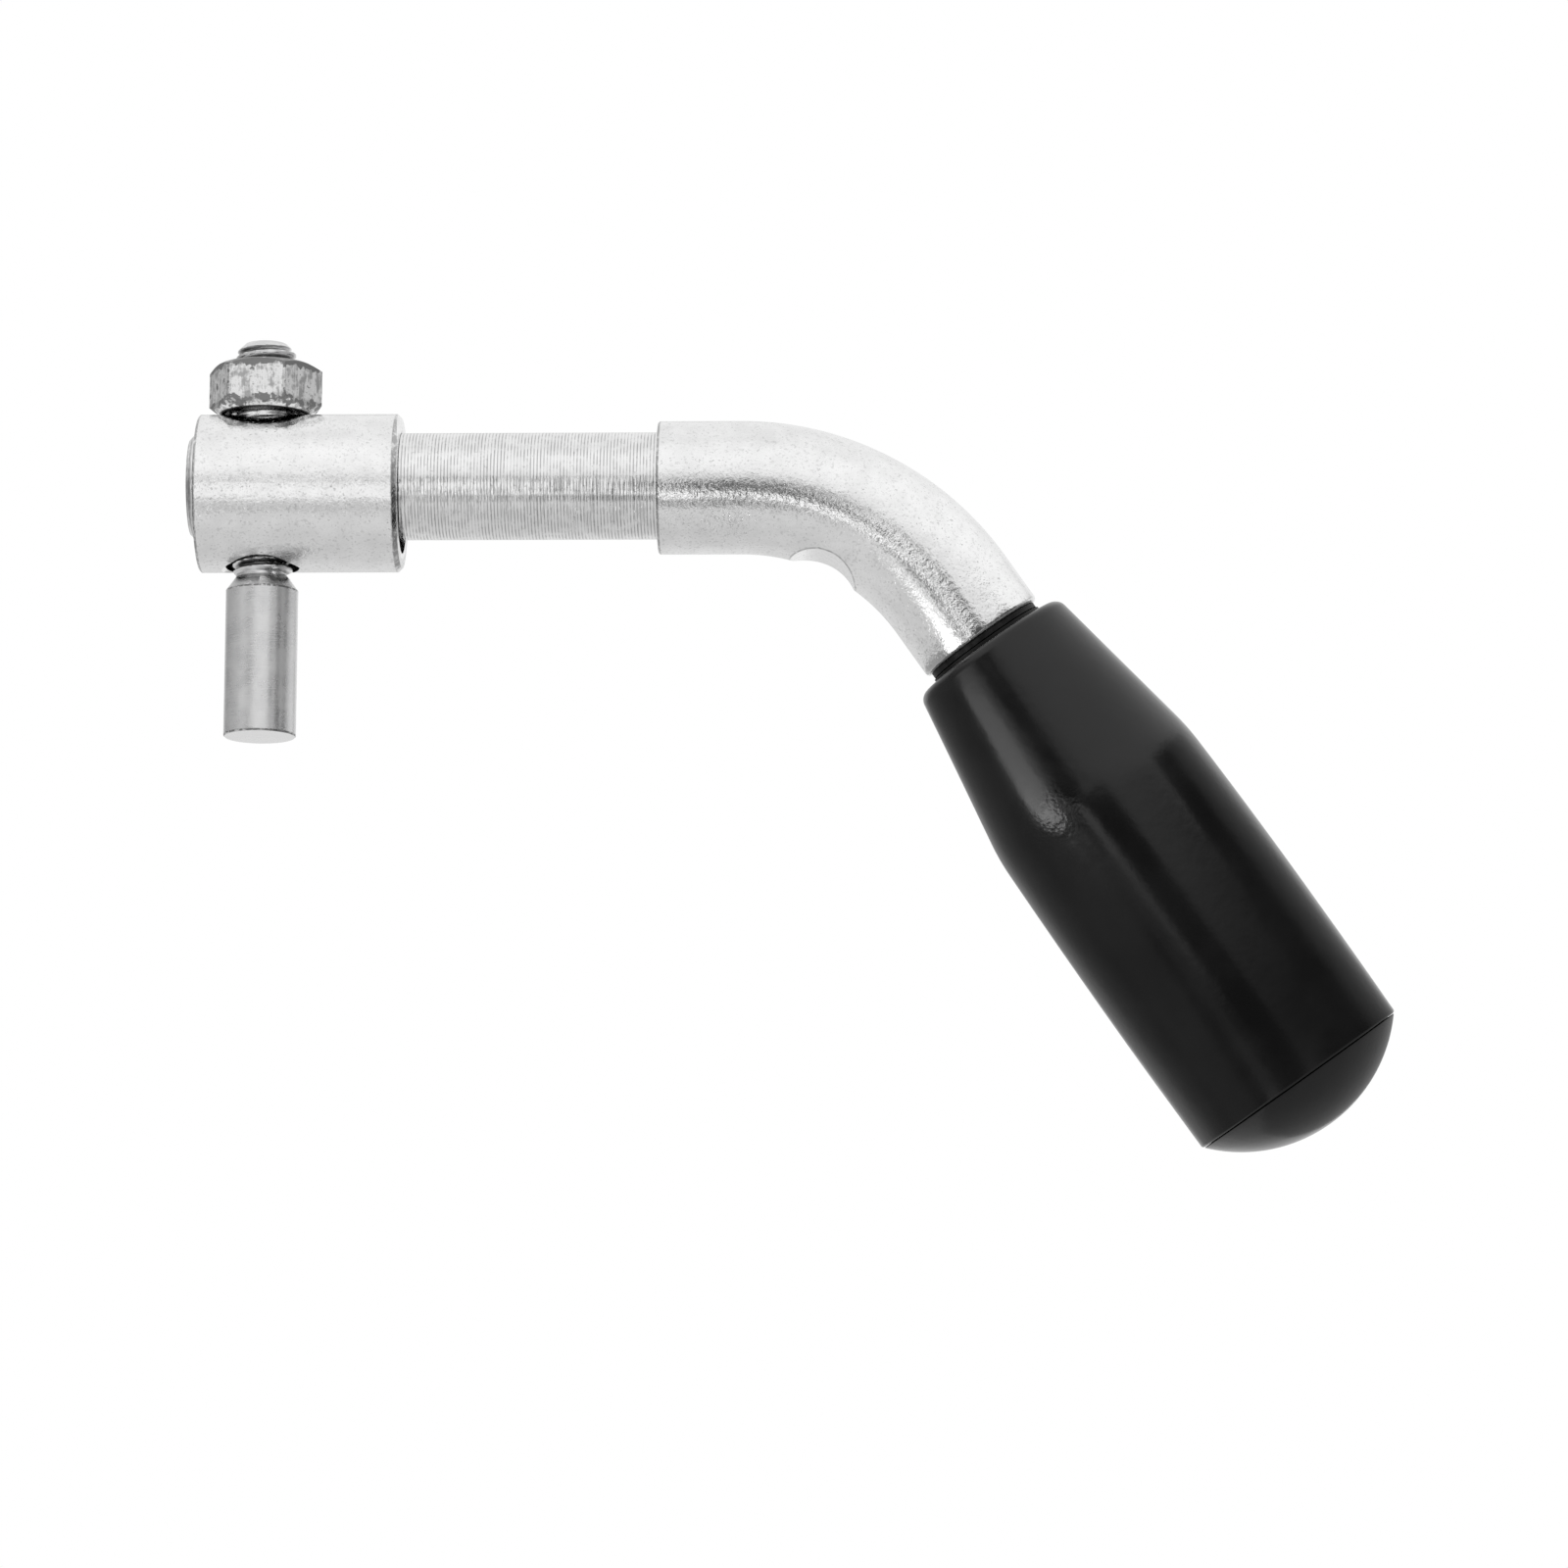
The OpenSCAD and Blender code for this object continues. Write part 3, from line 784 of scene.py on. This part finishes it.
def nut_top_edge(t):
    return nut_h - (hexagon(t) - nut_face_r) * nut_top_slope


def nut_low_edge(t):
    return (hexagon(t) - nut_low_face_r) * nut_low_slope


nut_rings = [
    nut_ring(nut_h - nut_sink, nut_bore_r), nut_ring(nut_h, nut_bore_r + nut_sink),
    nut_ring(nut_h, nut_face_r), nut_ring(nut_top_edge, hexagon)]
nut_rings += [nut_ring(height, hexagon) for height in nut_flat_rings]
nut_rings += [
    nut_ring(nut_low_edge, hexagon), nut_ring(0, nut_low_face_r),
    nut_ring(0, nut_bore_r + nut_sink), nut_ring(nut_sink, nut_bore_r)]
nut = skin("nut", nut_rings, joined=True)

# Galvanised: a dull, blotched zinc coat with streaks down the flats and darker, rubbed edges, and
# painted shadow that makes the underside black.
galvanised_nut = bpy.data.materials.new("galvanised_nut")
coat = Shader(galvanised_nut)
spot = coat.node("TexCoord", {}, out=3)
leaned = coat.node(
    "Mapping", {"vector_type": "POINT"}, Vector=spot, Rotation=(stud_turn, 0.0, 0.0))
up_nut = coat.node("SeparateXYZ", {}, leaned, out=2) * (1 / MM) - nut_low
streaked = coat.node("VectorMath", {"operation": "MULTIPLY"}, leaned, (2300.0, 2300.0, 300.0))
streaks = coat.node("TexNoise", {}, Vector=streaked, Scale=1.0, Detail=2.0, Roughness=0.6)
blotches = coat.node("TexNoise", {}, Vector=spot, Scale=1100.0, Detail=3.0, Roughness=0.6)
top_edge = up_nut.step(3.9, 4.6) * 1.15
low_edge = up_nut.within(0.35, 1.15, 0.25) * 0.9
corners = off_axis_mm(coat, spot, stud_place).step(5.62, 5.72) * 0.62
rubbed = ((top_edge + low_edge + corners) * 0.22 + blotches).step(0.60, 0.68)
bright = (0.45 * streaks + 0.55 * blotches).step(0.40, 0.54)
coat_tone = coat.blend((0.3 + 0.7 * bright) * (1 - rubbed), grey(0.26), grey(0.92))
# Painted shadow: the nut's underside is black
underside_shadow_tone = coat.blend(up_nut.step(0.16, 0.06), coat_tone, grey(0.02))
coat.node("OutputMaterial", {}, coat.node(
    "BsdfPrincipled", {}, Base_Color=underside_shadow_tone, Metallic=1.0,
    Roughness=0.24 + 0.2 * rubbed,
    Normal=coat.node(
        "Bump", {}, Strength=1.0, Distance=3e-5, Height=0.5 * blotches + 0.35 * streaks)))
dress(nut, galvanised_nut, "lock_nut", "handle", 20)


# Spindle and its rings: the blackened steel spindle is screwed into the arm, and its flange and a
# thin black washer carry the grip's upper end. A plated washer and a spring ring hold the lower
# end. Their shapes come from the frame as they are, and only their finishes are made here.
blackened_steel = bpy.data.materials.new("blackened_steel")
oxide = Shader(blackened_steel)
spot = oxide.node("TexCoord", {}, out=3)
oxide_cloud = oxide.node("TexNoise", {}, Vector=spot, Scale=1100.0, Detail=4.0, Roughness=0.6)
oxide_tone = oxide.blend(oxide_cloud.step(0.35, 0.7), grey(0.004), grey(0.02))
oxide.node("OutputMaterial", {}, oxide.node(
    "BsdfPrincipled", {}, Base_Color=oxide_tone, Metallic=0.3,
    Roughness=0.4 + 0.15 * oxide_cloud, IOR=1.3,
    Normal=oxide.node("Bump", {}, Strength=1.0, Distance=8e-6, Height=oxide_cloud)))

black_washer = bpy.data.materials.new("black_washer")
washer = Shader(black_washer)
spot = washer.node("TexCoord", {}, out=3)
washer_grain = washer.node("TexNoise", {}, Vector=spot, Scale=2400.0, Detail=3.0, Roughness=0.6)
washer_tone = washer.blend(washer_grain.step(0.3, 0.7), grey(0.003), grey(0.007))
washer.node("OutputMaterial", {}, washer.node(
    "BsdfPrincipled", {}, Base_Color=washer_tone, Roughness=0.4 + 0.15 * washer_grain, IOR=1.3,
    Normal=washer.node("Bump", {}, Strength=1.0, Distance=6e-6, Height=washer_grain)))

for node, finish in (
        ("grip_spindle", blackened_steel), ("thrust_washer", black_washer),
        ("end_washer", turned_zinc), ("retaining_ring", blackened_steel)):
    for material_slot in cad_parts[node].material_slots:
        material_slot.material = finish


# Grip: one black thermoset moulding that turns on the spindle. It flares from a narrow neck into a
# slightly crowned barrel, and is counterbored at its lower end for the washer and spring ring.
grip_z = 1.04
grip_l = 52.85
grip_r = 11.8
grip_neck_r = 8.4
taper = math.radians(9.76)
neck_edge_r = 1.2
shoulder_r = 24.0
crown_r = 750.0
crown_back = 13.3
seam_edge_r = 0.25
recess_r = 8.0
recess_l = 9.0
grip_bore_r = 4.55
grip_points = 192
crown_skip = 0.001


def arc(centre, r, start, end, steps):
    """Points (radius, height) along an arc, its angles in radians."""
    turns = [start + (end - start) * k / steps for k in range(steps + 1)]
    return [(centre[0] + r * math.cos(t), centre[1] + r * math.sin(t)) for t in turns]


taper_along = Vector((math.sin(taper), math.cos(taper)))
taper_out = Vector((math.cos(taper), -math.sin(taper)))
crown_centre = Vector((grip_r - crown_r, grip_l - crown_back))
blend_from = Vector((grip_neck_r, 0)) - shoulder_r * taper_out - crown_centre
blend_b = blend_from.dot(taper_along)
blend_c = blend_from.dot(blend_from) - (crown_r - shoulder_r) ** 2
blend_offset = blend_from + (-blend_b + math.sqrt(blend_b ** 2 - blend_c)) * taper_along
blend_centre = crown_centre + blend_offset
blend_angle = math.atan2(blend_offset.y, blend_offset.x)
crown_end = math.asin((crown_back - seam_edge_r) / crown_r)
seam_r = crown_centre.x + crown_r * math.cos(crown_end)
neck_edge_x = (
    grip_neck_r - neck_edge_r * math.cos(taper)
    + neck_edge_r * (1 - math.sin(taper)) * math.tan(taper))
grip_outline = [(grip_bore_r, 0.0)]
grip_outline += arc((neck_edge_x, neck_edge_r), neck_edge_r, -math.pi / 2, -taper, 12)
taper_end = blend_centre + shoulder_r * taper_out
taper_start = Vector(grip_outline[-1])
grip_outline += [tuple(taper_start.lerp(taper_end, k / 12)) for k in range(1, 12)]
grip_outline += arc(blend_centre, shoulder_r, -taper, blend_angle, 14)
grip_outline += arc(crown_centre, crown_r, blend_angle + crown_skip, crown_end, 26)
grip_outline += arc(
    (seam_r - seam_edge_r, grip_l - seam_edge_r), seam_edge_r, math.radians(10), math.pi / 2, 5)
grip_outline += [
    (recess_r, grip_l), (recess_r, grip_l - recess_l), (grip_bore_r, grip_l - recess_l)]

# The moulding has faint hollows where it shrank, a few hundredths of a millimetre deep, which end
# above its lower rim
sink_size = 0.03
sink_scale = 0.11
sink_bias = 0.2
even_rim_l = 0.5


def sunk(point):
    """A point of the outside, moved by the moulding's slight unevenness."""
    from_axis = point - arm_end - (point - arm_end).dot(grip_axis) * grip_axis
    depth = noise.noise(point * sink_scale) - sink_bias
    return point + from_axis.normalized() * sink_size * depth


grip_rings = []
for r, height in grip_outline:
    ring = along_grip(grip_z + height, r, grip_points)
    outside = r > grip_neck_r and height < grip_l - even_rim_l
    grip_rings.append([sunk(point) for point in ring] if outside else ring)
grip = skin("grip", grip_rings, joined=True)

# Black moulding: hard, dark and softly glossy, with a faint orange peel from the mould, a rough
# spot on the grip, a black line in the seam and a thin painted highlight round the upper rim.
rough_place = (39.9, -10.0, -33.2)
rough_r = 3.4
rough_core_r = 1.2
black_moulding = bpy.data.materials.new("black_moulding")
resin = Shader(black_moulding)
spot = resin.node("TexCoord", {}, out=3)
peel = resin.node("TexNoise", {}, Vector=spot, Scale=850.0, Detail=2.0, Roughness=0.5)
dust = resin.node("TexNoise", {}, Vector=spot, Scale=3800.0, Detail=3.0, Roughness=0.7)
haze = resin.node("TexNoise", {}, Vector=spot, Scale=160.0, Detail=3.0, Roughness=0.6)
resin_tone = resin.blend(haze.step(0.3, 0.7), grey(0.0035), grey(0.006))
from_arm = resin.node("VectorMath", {"operation": "SUBTRACT"}, spot, tuple(arm_end * MM))
down_grip = resin.node(
    "VectorMath", {"operation": "DOT_PRODUCT"}, from_arm, tuple(grip_axis), out=1) * (1 / MM)
seam_z = grip_z + grip_l
seam = down_grip.within(seam_z - 0.04, seam_z + 0.13, 0.03) * (
    0.55 + 0.45 * dust.step(0.42, 0.56))
from_rough = resin.node(
    "VectorMath", {"operation": "DISTANCE"}, spot, tuple(size * MM for size in rough_place), out=1)
pimples = resin.node("TexNoise", {}, Vector=spot, Scale=1700.0, Detail=2.0, Roughness=0.55)
roughened = from_rough.step(rough_r * MM, rough_core_r * MM) * pimples * 3.2
# Painted highlight: a thin light grey line round the grip's upper rim
rim_highlight = down_grip.within(grip_z - 0.05, grip_z + 0.07, 0.02) * dust.step(0.3, 0.5)
rim_highlight_tone = resin.blend(rim_highlight, resin_tone, grey(0.2))
moulded = resin.node(
    "BsdfPrincipled", {}, Base_Color=rim_highlight_tone,
    Roughness=0.17 + 0.05 * haze.step(0.3, 0.7) + 0.1 * dust.step(0.6, 0.8), IOR=1.45,
    Normal=resin.node(
        "Bump", {}, Strength=1.0, Distance=1.7e-5, Height=peel + 0.2 * dust + roughened))
resin.node("OutputMaterial", {}, resin.node(
    "MixShader", {}, seam, moulded, resin.node("BsdfDiffuse", {}, grey(0.002))))
dress(grip, black_moulding, "grip_body", "grip")


# Grip cap: a shallow hollow dome, moulded from the same black resin as a piece of its own. Its plug
# is pushed into the grip's lower end, and a fine seam shows all round.
cap_gap = 0.1
cap_step = 0.2
cap_r = seam_r - cap_step
cap_h = 5.25
cap_wall = 2.0
rim_trim = 0.02
rim_turn_trim = 0.01
plug_r = 7.98
plug_l = 4.0
plug_wall = 1.6
plug_inner_r = plug_r - plug_wall
dome_r = (cap_r ** 2 + cap_h ** 2) / (2 * cap_h)
inner_r = dome_r - cap_wall
dome_centre = (0.0, cap_h - dome_r)

rim_turn = math.asin((dome_r - cap_h) / dome_r)
cap_outline = arc(dome_centre, dome_r, math.pi / 2, rim_turn + rim_turn_trim, 30)
cap_outline += [(cap_r - rim_trim, 0.0), (plug_r, 0.0), (plug_r, -plug_l), (plug_inner_r, -plug_l)]
inner_turn = math.acos(plug_inner_r / inner_r)
cap_outline += arc(dome_centre, inner_r, inner_turn, math.pi / 2, 12)
cap_rings = []
for r, height in cap_outline:
    on_axis = r < 1e-6
    if on_axis:
        cap_rings.append([arm_end + (seam_z + cap_gap + height) * grip_axis])
    else:
        cap_rings.append(along_grip(seam_z + cap_gap + height, r, grip_points))
cap = skin("cap", cap_rings)
dress(cap, black_moulding, "grip_cap", "grip")


low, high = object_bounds()
